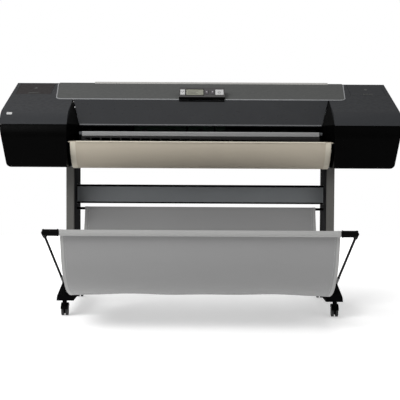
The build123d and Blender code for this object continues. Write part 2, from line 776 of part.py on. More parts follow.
def main():
    """Builds every sub-part."""
    os.makedirs("parts", exist_ok=True)
    write("left_leg", left_leg())
    write("right_leg", flipped(left_leg()))
    write("leg_covers", leg_covers())
    write("cross_brace", cross_brace())
    write("feet", both_sides(left_foot()))
    write("caster_stems", caster_stems())
    for name, x, y in caster_places():
        write(f"{name}_caster_fork", caster_fork(x, y))
        write(f"{name}_caster_wheel", caster_wheel(x, y))
    write("basket_rear_bar", basket_rear_bar())
    write("basket_front_bar", basket_front_bar())
    write("basket_arms", basket_arms())
    write("basket_fabric", basket_fabric())
    write("top_cover", top_cover())
    write("left_end_cover", left_end_cover())
    write("right_end_cover", flipped(left_end_cover()))
    write("left_front_cover", left_front_cover())
    write("right_front_cover", flipped(left_front_cover()))
    write("rear_cover", rear_cover())
    write("cover_screws", cover_screws())
    write("window_cheeks", both_sides(window_cheek()))
    write("window", window())
    write("left_ink_door", left_ink_door())
    write("right_ink_door", flipped(left_ink_door()))
    write("roll_cover", roll_cover())
    write("platen", platen())
    write("feed_roller", feed_roller())
    write("pinch_wheels", pinch_wheels())
    write("pinch_arms", pinch_arms())
    write("output_rail", output_rail())
    write("output_guide", output_guide())
    write("spindle_shaft", spindle_shaft())
    write("spindle_hubs", spindle_hubs())
    write("spindle_cradles", both_sides(spindle_cradle()))
    write("carriage_rail", carriage_rail())
    write("side_plates", both_sides(side_plate()))
    write("chassis_tray", chassis_tray())
    write("drive_pulley", pulley(-PULLEY_X))
    write("idler_pulley", pulley(PULLEY_X))
    write("carriage_belt", carriage_belt())
    write("drive_motors", drive_motors())
    write("carriage", carriage())
    write("print_heads", print_heads())
    write("service_station", service_station())
    write("ink_stations", both_sides(ink_station()))
    write("ink_cartridges", ink_cartridges())
    write("main_board", main_board())
    write("power_inlet", power_inlet())
    write("power_switch", power_switch())
    write("control_panel", control_panel())
    write("display_screen", display_screen())
    for name in BUTTONS:
        write(name, panel_button(name))


main()
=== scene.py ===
import math

import bmesh
import bpy
from mathutils import Matrix, Vector


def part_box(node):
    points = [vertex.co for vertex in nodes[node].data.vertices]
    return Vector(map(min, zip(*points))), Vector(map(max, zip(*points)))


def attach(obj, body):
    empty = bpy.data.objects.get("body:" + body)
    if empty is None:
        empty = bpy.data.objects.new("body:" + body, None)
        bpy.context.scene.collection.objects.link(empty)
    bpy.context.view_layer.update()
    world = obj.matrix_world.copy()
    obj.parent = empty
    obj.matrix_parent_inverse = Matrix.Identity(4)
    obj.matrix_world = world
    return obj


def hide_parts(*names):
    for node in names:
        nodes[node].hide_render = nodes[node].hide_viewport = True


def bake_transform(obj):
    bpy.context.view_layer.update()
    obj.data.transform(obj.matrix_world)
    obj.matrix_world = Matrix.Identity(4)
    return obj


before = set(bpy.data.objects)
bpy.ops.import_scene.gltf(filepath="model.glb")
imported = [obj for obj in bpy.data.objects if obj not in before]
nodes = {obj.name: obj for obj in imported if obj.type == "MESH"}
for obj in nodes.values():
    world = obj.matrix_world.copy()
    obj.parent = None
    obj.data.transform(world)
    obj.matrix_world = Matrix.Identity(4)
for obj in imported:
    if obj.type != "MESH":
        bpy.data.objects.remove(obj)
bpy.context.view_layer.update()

# Large format plotter: materials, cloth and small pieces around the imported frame.
# Metres, +Z up, -Y is the front. Outlines of pieces are in millimetres from the middle of the feet.

MM = 0.001
# The middle of the feet stands this far behind the origin.
STAND_Y = (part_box("feet")[0][1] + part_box("feet")[1][1]) / 2


# Materials

def srgb(red, green, blue):
    """Linear colour of an 8-bit screen colour."""
    def linear(v):
        v = v / 255
        return v / 12.92 if v <= 0.04045 else ((v + 0.055) / 1.055) ** 2.4

    return (linear(red), linear(green), linear(blue), 1.0)


def scaled(colour, factor):
    """A colour made lighter or darker."""
    return tuple(min(1.0, c * factor) for c in colour[:3]) + (1.0,)


class Nodes:
    """Node tree of one material, around its Principled shader."""

    def __init__(self, name):
        self.material = bpy.data.materials.new(name)
        self.material.use_nodes = True
        self.tree = self.material.node_tree
        self.shader = self.tree.nodes["Principled BSDF"]
        self.coords = self.tree.nodes.new("ShaderNodeTexCoord").outputs["Object"]

    def set(self, **values):
        """Plain values on the shader's own sockets."""
        for key, value in values.items():
            self.shader.inputs[key.replace("_", " ")].default_value = value

    def link(self, a, b):
        self.tree.links.new(a, b)

    def mapped(self, scale):
        """Object coordinates stretched by a scale along each axis."""
        node = self.tree.nodes.new("ShaderNodeMapping")
        node.inputs["Scale"].default_value = scale
        self.link(self.coords, node.inputs["Vector"])
        return node.outputs["Vector"]

    def noise(self, scale, detail=3.0, vector=None, roughness=0.5):
        node = self.tree.nodes.new("ShaderNodeTexNoise")
        node.inputs["Scale"].default_value = scale
        node.inputs["Detail"].default_value = detail
        node.inputs["Roughness"].default_value = roughness
        self.link(vector or self.coords, node.inputs["Vector"])
        return node.outputs["Fac"]

    def voronoi(self, scale):
        node = self.tree.nodes.new("ShaderNodeTexVoronoi")
        node.inputs["Scale"].default_value = scale
        self.link(self.coords, node.inputs["Vector"])
        return node.outputs["Distance"]

    def wave(self, scale, direction):
        node = self.tree.nodes.new("ShaderNodeTexWave")
        node.bands_direction = direction
        node.wave_profile = "SIN"
        node.inputs["Scale"].default_value = scale
        self.link(self.coords, node.inputs["Vector"])
        return node.outputs["Fac"]

    def distance(self):
        """Distance from the origin of the object."""
        node = self.tree.nodes.new("ShaderNodeVectorMath")
        node.operation = "LENGTH"
        self.link(self.coords, node.inputs[0])
        return node.outputs["Value"]

    def remap(self, value, low, high, start=0.0, end=1.0):
        """The range from start to end, stretched to the range from low to high."""
        node = self.tree.nodes.new("ShaderNodeMapRange")
        node.inputs["From Min"].default_value = start
        node.inputs["From Max"].default_value = end
        node.inputs["To Min"].default_value = low
        node.inputs["To Max"].default_value = high
        self.link(value, node.inputs["Value"])
        return node.outputs["Result"]

    def math(self, operation, a, b):
        node = self.tree.nodes.new("ShaderNodeMath")
        node.operation = operation
        for socket, value in zip(node.inputs, (a, b)):
            if isinstance(value, (int, float)):
                socket.default_value = value
            else:
                self.link(value, socket)
        return node.outputs["Value"]

    def mix(self, factor, a, b):
        """Colour between a and b. Each is a colour or a socket."""
        node = self.tree.nodes.new("ShaderNodeMix")
        node.data_type = "RGBA"
        self.link(factor, node.inputs["Factor"])
        for socket, value in ((node.inputs[6], a), (node.inputs[7], b)):
            if isinstance(value, tuple):
                socket.default_value = value
            else:
                self.link(value, socket)
        return node.outputs[2]

    def colour(self, socket):
        self.link(socket, self.shader.inputs["Base Color"])

    def rough(self, socket):
        self.link(socket, self.shader.inputs["Roughness"])

    def bump(self, height, strength, distance):
        """Surface relief of a height socket. The distance is in metres."""
        node = self.tree.nodes.new("ShaderNodeBump")
        node.inputs["Strength"].default_value = strength
        node.inputs["Distance"].default_value = distance
        self.link(height, node.inputs["Height"])
        self.link(node.outputs["Normal"], self.shader.inputs["Normal"])


MOTTLE = 0.025
GRAIN_DEPTH = 0.0001
ORANGE_PEEL = 420.0
BRUSH_STRETCH = (2.0, 260.0, 260.0)
THREAD_SCALE = 420.0


def moulded(name, colour, rough=0.5, grain=900.0, specular=0.25):
    """Moulded plastic: fine spark-eroded grain, soft mottling and small changes of gloss."""
    n = Nodes(name)
    n.set(Specular_IOR_Level=specular)
    n.colour(n.mix(n.noise(9.0, 4.0), scaled(colour, 1 - MOTTLE), scaled(colour, 1 + MOTTLE)))
    n.rough(n.remap(n.noise(60.0, 4.0), rough - 0.05, rough + 0.07, 0.3, 0.7))
    n.bump(n.noise(grain, 2.0), 0.08, GRAIN_DEPTH)
    return n.material


def glossy(name, colour, rough, coat=0.0, specular=0.5):
    """Polished plastic with faint moulding waves and handling haze."""
    n = Nodes(name)
    n.set(Coat_Weight=coat, Coat_Roughness=0.08, Specular_IOR_Level=specular)
    n.colour(n.mix(n.noise(14.0, 3.0), scaled(colour, 0.9), scaled(colour, 1.12)))
    n.rough(n.remap(n.noise(35.0, 6.0), rough - 0.03, rough + 0.1, 0.35, 0.75))
    n.bump(n.noise(4.0, 1.0), 0.08, 0.0006)
    return n.material


def painted(name, colour, rough=0.42, specular=0.3):
    """Powder coat on sheet metal: orange peel, slight dust and gloss changes."""
    n = Nodes(name)
    n.set(Metallic=0.1, Specular_IOR_Level=specular)
    n.colour(n.mix(n.noise(7.0, 5.0), scaled(colour, 0.92), scaled(colour, 1.08)))
    n.rough(n.remap(n.noise(50.0, 4.0), rough - 0.06, rough + 0.08, 0.3, 0.7))
    n.bump(n.noise(ORANGE_PEEL, 1.5), 0.3, 0.0002)
    return n.material


def brushed(name, colour, rough=0.3, metallic=1.0):
    """Metal with fine lines drawn along X."""
    n = Nodes(name)
    n.set(Metallic=metallic)
    lines = n.noise(6.0, 6.0, n.mapped(BRUSH_STRETCH), 0.7)
    n.colour(n.mix(lines, scaled(colour, 0.86), scaled(colour, 1.12)))
    n.rough(n.remap(lines, rough - 0.08, rough + 0.12, 0.3, 0.7))
    n.bump(lines, 0.15, 0.00008)
    return n.material


def rubbery(name, colour, rough=0.75):
    """Ground rubber with a dusty, pitted surface."""
    n = Nodes(name)
    n.set(Specular_IOR_Level=0.3)
    dust = n.noise(40.0, 6.0)
    n.colour(n.mix(n.remap(dust, 0.0, 1.0, 0.45, 0.75), colour, scaled(colour, 1.9)))
    n.rough(n.remap(dust, rough - 0.1, rough + 0.1, 0.3, 0.7))
    n.bump(n.voronoi(700.0), 0.25, 0.0001)
    return n.material


def woven(name, colour):
    """Plain woven nylon: crossing threads, soft sheen and faint handling marks."""
    n = Nodes(name)
    n.set(Specular_IOR_Level=0.25, Sheen_Weight=0.25, Sheen_Roughness=0.5)
    warp = n.wave(THREAD_SCALE, "X")
    weft = n.wave(THREAD_SCALE, "Y")
    weave = n.math("MULTIPLY", warp, n.math("ADD", weft, 0.3))
    marks = n.noise(3.0, 6.0)
    base = n.mix(marks, scaled(colour, 0.94), scaled(colour, 1.05))
    threads = n.remap(weave, 0.0, 0.35, 0.0, 1.0)
    n.colour(n.mix(threads, scaled(colour, 0.88), base))
    n.rough(n.remap(marks, 0.72, 0.9, 0.3, 0.7))
    n.bump(weave, 0.3, 0.0003)
    return n.material


charcoal = moulded("charcoal_plastic", srgb(44, 45, 47), 0.5, specular=0.06)
door_plastic = moulded("door_plastic", srgb(38, 35, 35), 0.5, specular=0.06)
# Deck grey, lighter than the end covers' charcoal: the extra lightness is painted reflection of the room.
# The door ribs use it too.
deck_reflection_grey = moulded("deck_plastic_painted_reflection", srgb(70, 71, 70), 0.5, specular=0.08)
# Light grey of the deck's edge bead: a painted highlight along the deck's edge.
bead_highlight_grey = moulded("bead_painted_highlight", srgb(124, 125, 127), 0.4, specular=0.15)
# Pale grey of the ridge strip: a painted highlight where the rear ridge catches the top light.
ridge_highlight_grey = moulded("ridge_painted_highlight", srgb(158, 157, 154), 0.5, specular=0.1)
gloss_black = glossy("black_plastic", srgb(2, 2, 2), 0.35, 0.0, 0.02)
smoked = glossy("smoked_window", srgb(35, 36, 38), 0.3, 0.0, 0.07)
# Lighter grey of the window's lip: a painted highlight along the bottom edge of the window.
lip_highlight_grey = moulded("lip_painted_highlight", srgb(92, 93, 95), 0.35, specular=0.2)
silver = brushed("silver_rail", srgb(130, 130, 130), 0.4, metallic=0.5)
dark = moulded("dark_plastic", srgb(24, 23, 23), 0.6, 700.0, specular=0.1)
# The platen is a mid grey, not black: painted light in the dim paper exit behind the window.
platen_painted_light_grey = moulded("platen_plastic_painted_light", srgb(70, 72, 74), 0.6, 700.0, specular=0.2)
warm_grey = moulded("warm_grey_panel", srgb(166, 158, 144), 0.55, specular=0.15)
band_grey = moulded("end_band", srgb(184, 178, 164), 0.55, specular=0.15)
leg_paint = painted("leg_paint", srgb(83, 82, 79))
brace_paint = painted("brace_paint", srgb(108, 111, 113))
# Black of the covers on the legs' inner sides: the covers' own dark paint, and painted shade for the shaded
# inner faces.
leg_cover_black_and_shade = painted("leg_cover_black_and_shade", srgb(32, 32, 33), 0.7, specular=0.0)
matte_black = painted("matte_black", srgb(8, 8, 9), 0.7, specular=0.0)
panel_grey = moulded("panel_plastic", srgb(62, 61, 61), 0.5, specular=0.08)
black_paint = painted("black_paint", srgb(5, 5, 5), 0.5, specular=0.03)
steel = brushed("zinc_steel", srgb(180, 182, 184), 0.35)
dark_metal = painted("dark_metal", srgb(50, 50, 52))
roller = rubbery("roller_rubber", srgb(48, 48, 48))
tyre = rubbery("wheel_rubber", srgb(34, 34, 35), 0.6)
hub_grey = moulded("hub_cap", srgb(62, 62, 64), 0.4, 500.0)
hub_blue = moulded("hub_plastic", srgb(44, 96, 160), 0.4)
cartridge = moulded("cartridge_plastic", srgb(36, 37, 40), 0.4)
board = glossy("circuit_board", srgb(20, 84, 52), 0.35, 0.2)
screen = glossy("display_glass", srgb(116, 116, 105), 0.2, 0.0, 0.12)
ink_mark = moulded("panel_mark", srgb(52, 52, 50), 0.5, 500.0, specular=0.1)
key_light = moulded("key_light", srgb(166, 166, 166), 0.35, 500.0, specular=0.12)
key_dark = moulded("key_dark", srgb(64, 60, 64), 0.35, 500.0, specular=0.15)
cloth = woven("basket_cloth", srgb(129, 129, 129))
# Lighter copy of the basket cloth for the hems and the front sleeve: a painted highlight on the sleeve round
# the front bar.
hem_highlight_cloth = woven("basket_hem_painted_highlight", srgb(146, 146, 145))
thread = rubbery("stitch_thread", srgb(150, 150, 150), 0.8)

NODE_MATERIALS = {
    "left_leg": leg_paint, "right_leg": leg_paint, "cross_brace": brace_paint,
    "leg_covers": leg_cover_black_and_shade, "feet": matte_black, "basket_rear_bar": black_paint,
    "basket_front_bar": black_paint, "basket_arms": black_paint, "caster_stems": steel,
    "top_cover": deck_reflection_grey, "left_end_cover": charcoal, "right_end_cover": charcoal,
    "left_front_cover": gloss_black, "right_front_cover": gloss_black, "rear_cover": charcoal,
    "cover_screws": steel, "window_cheeks": gloss_black, "window": smoked,
    "left_ink_door": door_plastic, "right_ink_door": charcoal, "roll_cover": warm_grey,
    "platen": platen_painted_light_grey, "feed_roller": roller, "pinch_wheels": roller, "pinch_arms": dark,
    "output_rail": silver, "output_guide": dark, "spindle_shaft": dark_metal,
    "spindle_hubs": hub_blue, "spindle_cradles": dark, "carriage_rail": steel,
    "side_plates": steel, "chassis_tray": steel, "drive_pulley": steel, "idler_pulley": steel,
    "carriage_belt": roller, "drive_motors": dark_metal, "carriage": dark, "print_heads": hub_blue,
    "service_station": dark, "ink_stations": dark, "ink_cartridges": cartridge,
    "main_board": board, "power_inlet": dark, "power_switch": dark, "control_panel": panel_grey,
    "basket_fabric": cloth, "display_screen": screen, "select_button": key_light, "menu_button": key_dark,
    "cancel_button": key_dark, "power_button": key_light,
}

# Width in millimetres of the rounding on the moulded and folded edges of each CAD node.
EDGE_WIDTHS = {
    "top_cover": 1.0, "left_end_cover": 1.0, "right_end_cover": 1.0, "left_front_cover": 1.0,
    "right_front_cover": 1.0, "left_ink_door": 0.5, "right_ink_door": 0.5, "roll_cover": 0.8,
    "window": 0.6, "window_cheeks": 0.5, "control_panel": 2.0, "display_screen": 0.4,
    "select_button": 1.0, "menu_button": 1.0, "cancel_button": 1.0, "power_button": 1.0,
    "cross_brace": 1.0, "feet": 2.0, "leg_covers": 0.5, "output_rail": 0.4, "output_guide": 0.5,
    "spindle_cradles": 0.6, "carriage": 1.5, "print_heads": 0.8, "ink_cartridges": 2.0,
    "platen": 0.5, "rear_cover": 0.6, "service_station": 0.8, "ink_stations": 0.4,
    "power_inlet": 0.8, "power_switch": 0.8, "drive_motors": 0.8, "basket_front_bar": 1.0,
    "chassis_tray": 0.4, "side_plates": 0.4,
}
FORK_EDGE = 1.0
WELD_DISTANCE = 1e-5
FLAT_ANGLE = math.radians(0.5)
EDGE_ANGLE = math.radians(32)
EDGE_SEGMENTS = 2


def soften(obj, width):
    """Rounds an object's sharp edges by a width in metres and keeps its flats flat."""
    weld = obj.modifiers.new("weld", "WELD")
    weld.merge_threshold = WELD_DISTANCE
    flats = obj.modifiers.new("flats", "DECIMATE")
    flats.decimate_type = "DISSOLVE"
    flats.angle_limit = FLAT_ANGLE
    bevel = obj.modifiers.new("edges", "BEVEL")
    bevel.width = width
    bevel.segments = EDGE_SEGMENTS
    bevel.limit_method = "ANGLE"
    bevel.angle_limit = EDGE_ANGLE
    shade = obj.modifiers.new("shade", "WEIGHTED_NORMAL")
    shade.keep_sharp = True


def material_of(name):
    """Material of a CAD node. The caster nodes share theirs."""
    if name.endswith("_caster_fork"):
        return black_paint
    if name.endswith("_caster_wheel"):
        return tyre
    return NODE_MATERIALS[name]


for name, obj in nodes.items():
    obj.data.materials.clear()
    obj.data.materials.append(material_of(name))
    if name in EDGE_WIDTHS or name.endswith("_caster_fork"):
        obj.data.shade_smooth()
        soften(obj, EDGE_WIDTHS.get(name, FORK_EDGE) * MM)


# Camera

CAMERA_DISTANCE = 5.0
CAMERA_HEIGHT = 0.7368
CAMERA_PITCH = math.radians(2.776)
CAMERA_ROLL = math.radians(0.3)
CAMERA_LENS = 97.39
CAMERA_SENSOR = 36.0
CAMERA_SHIFT = -0.00075
camera_data = bpy.data.cameras.new("camera")
camera_data.lens = CAMERA_LENS
camera_data.sensor_width = CAMERA_SENSOR
camera_data.shift_x = CAMERA_SHIFT
camera = bpy.data.objects.new("camera", camera_data)
bpy.context.scene.collection.objects.link(camera)
camera.location = (0, STAND_Y - CAMERA_DISTANCE, CAMERA_HEIGHT)
look = Matrix.Rotation(math.pi / 2 - CAMERA_PITCH, 4, "X") @ Matrix.Rotation(CAMERA_ROLL, 4, "Z")
camera.matrix_world = Matrix.Translation(camera.location) @ look
bpy.context.scene.camera = camera


# Floor and light

FLOOR_RADIUS = 4.5
FLOOR_SIDES = 120
# The floor glows a little under the object, and fully from the far end of this range of distances.
FLOOR_GLOW = 0.42
GLOW_RISE = (0.9, 3.2)
ROOM_LIGHT = 0.3


def stage_mesh():
    """Round flat floor under the object."""
    mesh = bpy.data.meshes.new("studio_floor")
    angles = [math.radians(360 // FLOOR_SIDES * i) for i in range(FLOOR_SIDES)]
    corners = [(FLOOR_RADIUS * math.cos(a), FLOOR_RADIUS * math.sin(a), 0) for a in angles]
    mesh.from_pydata(corners, [], [tuple(range(FLOOR_SIDES))])
    floor = bpy.data.objects.new("studio_floor", mesh)
    bpy.context.scene.collection.objects.link(floor)
    n = Nodes("studio_floor")
    n.set(Roughness=0.9, Specular_IOR_Level=0.1, Emission_Color=(1, 1, 1, 1))
    n.link(n.remap(n.distance(), FLOOR_GLOW, 1.0, *GLOW_RISE), n.shader.inputs["Emission Strength"])
    n.colour(n.mix(n.noise(1.5, 2.0), srgb(226, 226, 226), srgb(232, 232, 232)))
    mesh.materials.append(n.material)


stage_mesh()


def area_light(name, place, target, size, power):
    """Soft rectangular lamp aimed at a point."""
    data = bpy.data.lights.new(name, "AREA")
    data.shape = "RECTANGLE"
    data.size, data.size_y = size
    data.energy = power
    lamp = bpy.data.objects.new(name, data)
    bpy.context.scene.collection.objects.link(lamp)
    lamp.location = place
    lamp.rotation_euler = (Vector(target) - Vector(place)).to_track_quat("-Z", "Y").to_euler()


area_light("key_light", (-3.0, -3.4, 3.4), (0, 0.2, 0.5), (3.4, 2.2), 235)
area_light("fill_light", (2.6, -3.2, 2.6), (0, 0.2, 0.4), (2.0, 2.0), 22)
area_light("top_light", (-0.8, 0.2, 4.6), (0, 0.2, 0.0), (6.0, 4.0), 100)
area_light("back_light", (-1.6, 4.0, 1.6), (0, 0.3, 0.7), (2.6, 1.6), 26)


def studio_world():
    """White surroundings where the camera sees them, and a dimmer room where they light the object."""
    world = bpy.data.worlds.new("studio")
    world.use_nodes = True
    tree = world.node_tree
    background = tree.nodes["Background"]
    path = tree.nodes.new("ShaderNodeLightPath")
    strength = tree.nodes.new("ShaderNodeMapRange")
    strength.inputs["To Min"].default_value = ROOM_LIGHT
    strength.inputs["To Max"].default_value = 1.0
    tree.links.new(path.outputs["Is Camera Ray"], strength.inputs["Value"])
    tree.links.new(strength.outputs["Result"], background.inputs["Strength"])
    background.inputs["Color"].default_value = (1, 1, 1, 1)
    bpy.context.scene.world = world


studio_world()
bpy.context.scene.view_settings.view_transform = "Standard"


# Basket cloth

CLOTH_HALF = 0.535
CLOTH_THICKNESS = 0.0012
HEM_THICKENING = 1.9
SLEEVE_RADIUS = 0.0112
LOOP_RADIUS = 0.0078
LOOP_STEPS = 14
SLEEVE_STEPS = 16
HANG_STEPS = 7
# Places across the cloth, as shares of its half width.
HEM_COLUMNS = (1.0, 0.9985, 0.979, 0.977, 0.972)
INNER_EDGE = 0.95
INNER_STEPS = 44
HEM_START = 0.976
HEM_SEAM = HEM_START - 0.012
STITCH_PITCH = 0.007
STITCH_RAISE = 0.0006
STITCH_SPAN = (0.2, 0.8)
BAR_CENTRE = (STAND_Y - 0.900, 0.411)
REAR_BAR_CENTRE = (STAND_Y + 0.030, 0.452)
HANG_CONTROLS = [
    (STAND_Y - 0.010, 0.372), (STAND_Y - 0.120, 0.208), (STAND_Y - 0.275, 0.136),
    (STAND_Y - 0.445, 0.1165), (STAND_Y - 0.615, 0.139), (STAND_Y - 0.745, 0.192), (STAND_Y - 0.843, 0.290),
]


def smooth_line(points, steps):
    """Catmull-Rom line through points, with a number of steps in each span."""
    padded = [points[0], *points, points[-1]]
    line = []
    for i in range(len(points) - 1):
        p0, p1, p2, p3 = (Vector(p) for p in padded[i:i + 4])
        for k in range(steps):
            t = k / steps
            a = 2 * p1 + (p2 - p0) * t
            b = (2 * p0 - 5 * p1 + 4 * p2 - p3) * t * t
            c = (3 * p1 - p0 - 3 * p2 + p3) * t ** 3
            line.append((a + b + c) / 2)
    line.append(Vector(points[-1]))
    return line


def arc_points(centre, radius, first, last, count):
    """Points on an arc in Y and Z. Angles are in degrees from +Y towards +Z."""
    points = []
    for i in range(count + 1):
        angle = math.radians(first + (last - first) * i / count)
        points.append((centre[0] + radius * math.cos(angle), centre[1] + radius * math.sin(angle)))
    return points


def cloth_line():
    """The cloth's line: a loop round the rear bar, the hanging stretch, and the front sleeve."""
    loop = arc_points(REAR_BAR_CENTRE, LOOP_RADIUS, -60, 200, LOOP_STEPS)
    sleeve = arc_points(BAR_CENTRE, SLEEVE_RADIUS, 20, 295, SLEEVE_STEPS)
    hang = smooth_line([loop[-1], *HANG_CONTROLS, sleeve[0]], HANG_STEPS)
    return [Vector(p) for p in loop[:-1]] + hang[:-1] + [Vector(p) for p in sleeve]


def line_length(line):
    """Length of a line of points."""
    return sum((b - a).length for a, b in zip(line, line[1:]))


def cloth_columns():
    """Places across the cloth, from -1 to 1, closer together in the hems."""
    inner = [INNER_EDGE - 2 * INNER_EDGE * i / INNER_STEPS for i in range(INNER_STEPS + 1)]
    return [-h for h in HEM_COLUMNS] + [-c for c in inner] + [*HEM_COLUMNS[::-1]]


def cloth_ripple(along, across):
    """Height of the soft waves in the cloth, in metres. They fade at both bars."""
    fade = math.sin(math.pi * min(1.0, max(0.0, along))) ** 1.5
    slow = math.sin(across * 5.1 + along * 3.0) + 0.6 * math.sin(across * 11.3 - along * 5.0 + 1.0)
    return fade * (0.0022 * slow - 0.006 * (1 - across * across) * math.sin(math.pi * along))


def cloth_rows():
    """Point, normal and share of the length for each row of the cloth, and its whole length."""
    line = cloth_line()
    total = line_length(line)
    rows, travelled = [], 0.0
    for i, point in enumerate(line):
        before, after = line[max(i - 1, 0)], line[min(i + 1, len(line) - 1)]
        if i:
            travelled += (point - line[i - 1]).length
        tangent = (after - before).normalized()
        rows.append((point, Vector((-tangent.y, tangent.x)), travelled / total))
    return rows, total


def cloth_spot(row, across, lift):
    """Point of the cloth at a place across it, lifted off its middle."""
    point, normal, along = row
    spot = point + normal * (cloth_ripple(along, across) + lift)
    return Vector((across * CLOTH_HALF, spot.x, spot.y))


def basket_cloth(rows):
    """Hemmed sheet of cloth that hangs between the two bars, thicker in the hems and sleeves."""
    columns = cloth_columns()
    half = [CLOTH_THICKNESS * (HEM_THICKENING if abs(c) > HEM_START else 1.0) / 2 for c in columns]
    mesh = bpy.data.meshes.new("basket_cloth")
    bm = bmesh.new()
    grids = []
    for sign in (1, -1):
        grid = []
        for row in rows:
            grid.append([bm.verts.new(cloth_spot(row, c, sign * t)) for c, t in zip(columns, half)])
        grids.append(grid)
    last_row, last_column = len(rows) - 1, len(columns) - 1

    def add_face(corners, i, j):
        face = bm.faces.new(corners)
        in_hem = min(abs(columns[j]), abs(columns[min(j + 1, last_column)])) > HEM_START
        # Hems and the sleeve take the lighter cloth, a painted highlight.
        face.material_index = 1 if in_hem or i >= last_row - SLEEVE_STEPS else 0

    for grid in grids:
        for i in range(last_row):
            for j in range(last_column):
                add_face((grid[i][j], grid[i][j + 1], grid[i + 1][j + 1], grid[i + 1][j]), i, j)
    top, low = grids
    for i in range(last_row):
        add_face((top[i][0], top[i + 1][0], low[i + 1][0], low[i][0]), i, 0)
        add_face((top[i][-1], low[i][-1], low[i + 1][-1], top[i + 1][-1]), i, last_column)
    for j in range(last_column):
        add_face((top[0][j], low[0][j], low[0][j + 1], top[0][j + 1]), 0, j)
        add_face((top[-1][j], top[-1][j + 1], low[-1][j + 1], low[-1][j]), last_row, j)
    bmesh.ops.recalc_face_normals(bm, faces=bm.faces)
    bm.to_mesh(mesh)
    bm.free()
    mesh.shade_smooth()
    mesh.materials.append(cloth)
    mesh.materials.append(hem_highlight_cloth)
    piece = bpy.data.objects.new("basket_cloth", mesh)
    bpy.context.scene.collection.objects.link(piece)
    return piece


def stitch(bm, start, end, out):
    """One short raised stitch between two points."""
    run = end - start
    side = run.cross(out).normalized() * STITCH_RAISE
    outline = [(0.0, 0.0), (0.2, 1.0), (0.8, 1.0), (1.0, 0.0), (0.8, -1.0), (0.2, -1.0)]
    base = [bm.verts.new(start + run * a + side * b) for a, b in outline]
    crest = [bm.verts.new(start + run * (0.5 + (a - 0.5) * 0.7) + side * b * 0.5 + out * STITCH_RAISE)
             for a, b in outline]
    bm.faces.new(base)
    bm.faces.new(crest[::-1])
    for i in range(6):
        j = (i + 1) % 6
        bm.faces.new((base[i], crest[i], crest[j], base[j]))


def cloth_stitches(rows):
    """Rows of stitches down both hems and along the front sleeve, on both faces of the cloth."""
    mesh = bpy.data.meshes.new("basket_stitches")
    bm = bmesh.new()
    lift = CLOTH_THICKNESS / 2
    seam_row = len(rows) - 1 - SLEEVE_STEPS
    for i in range(1, seam_row):
        length = (rows[i][0] - rows[i - 1][0]).length
        count = max(1, round(length / STITCH_PITCH))
        for k in range(count):
            for across in (-HEM_SEAM, HEM_SEAM):
                for sign in (1, -1):
                    a, b = (cloth_spot(rows[r], across, sign * lift) for r in (i - 1, i))
                    out = Vector((0, rows[i][1].x, rows[i][1].y)) * sign
                    stitch(bm, *(a.lerp(b, (k + t) / count) for t in STITCH_SPAN), out)
    row = rows[seam_row - 1]
    columns = round(2 * CLOTH_HALF * HEM_SEAM / STITCH_PITCH)
    for k in range(columns):
        for sign in (1, -1):
            out = Vector((0, row[1].x, row[1].y)) * sign
            places = [HEM_SEAM * (2 * (k + t) / columns - 1) for t in STITCH_SPAN]
            stitch(bm, *(cloth_spot(row, place, sign * lift) for place in places), out)
    bmesh.ops.recalc_face_normals(bm, faces=bm.faces)
    bm.to_mesh(mesh)
    bm.free()
    mesh.materials.append(thread)
    piece = bpy.data.objects.new("basket_stitches", mesh)
    bpy.context.scene.collection.objects.link(piece)
    return piece


def hang_basket():
    """The cloth and its stitches, which hang between the stand and the front bar."""
    rows, total = cloth_rows()
    piece, stitches = basket_cloth(rows), cloth_stitches(rows)
    for obj in (piece, stitches):
        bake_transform(obj)
    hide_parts("basket_fabric")


hang_basket()


# Building pieces from outlines

def at(x, y, z):
    """A point given in millimetres from the middle of the feet on the floor."""
    return Vector((x * MM, STAND_Y + y * MM, z * MM))


SLOPE_START = (-261.9, 870.9)
SLOPE = 0.33296
SLOPE_NORMAL = Vector((0, -SLOPE, 1)).normalized()
NOSE_RADIUS = 120.0
NOSE_CENTRE = (-132.1, 787.6)
PANEL_LOW, PANEL_HIGH = (-14.0, 968.0), (52.0, 1016.0)
WINDOW_TOP, WINDOW_LOW = (-13.5, 954.0), (-150.0, 836.5)
SHARP_ANGLE = math.radians(40)


def along_x(a, b, t):
    """Point of an outline in Y and Z, at x = t."""
    return at(t, a, b)


def along_y(a, b, t):
    """Point of an outline in X and Z, at y = t."""
    return at(a, t, b)


def slope_z(y):
    """Height of the sloping top."""
    return SLOPE_START[1] + SLOPE * (y - SLOPE_START[0])


def on_slope(a, b, t):
    """Point at x = a and depth b, t above the sloping top."""
    return at(a, b, slope_z(b)) + SLOPE_NORMAL * t * MM


def on_nose(a, b, t):
    """Point at x = a on the rounded nose, where it leans b degrees forward, t above it."""
    angle, radius = math.radians(b), NOSE_RADIUS + t
    return at(a, NOSE_CENTRE[0] - radius * math.sin(angle), NOSE_CENTRE[1] + radius * math.cos(angle))


def on_face(low, high):
    """Place function for a flat face that rises from low to high, each given as (y, z)."""
    run = Vector((0, high[0] - low[0], high[1] - low[1])).normalized()
    out = Vector((0, -run.z, run.y))

    def place(a, b, t):
        return at(a, low[0], low[1]) + (run * b + out * t) * MM

    return place


on_panel = on_face(PANEL_LOW, PANEL_HIGH)
on_window = on_face(WINDOW_LOW, WINDOW_TOP)
WINDOW_RUN = math.hypot(WINDOW_TOP[0] - WINDOW_LOW[0], WINDOW_TOP[1] - WINDOW_LOW[1])


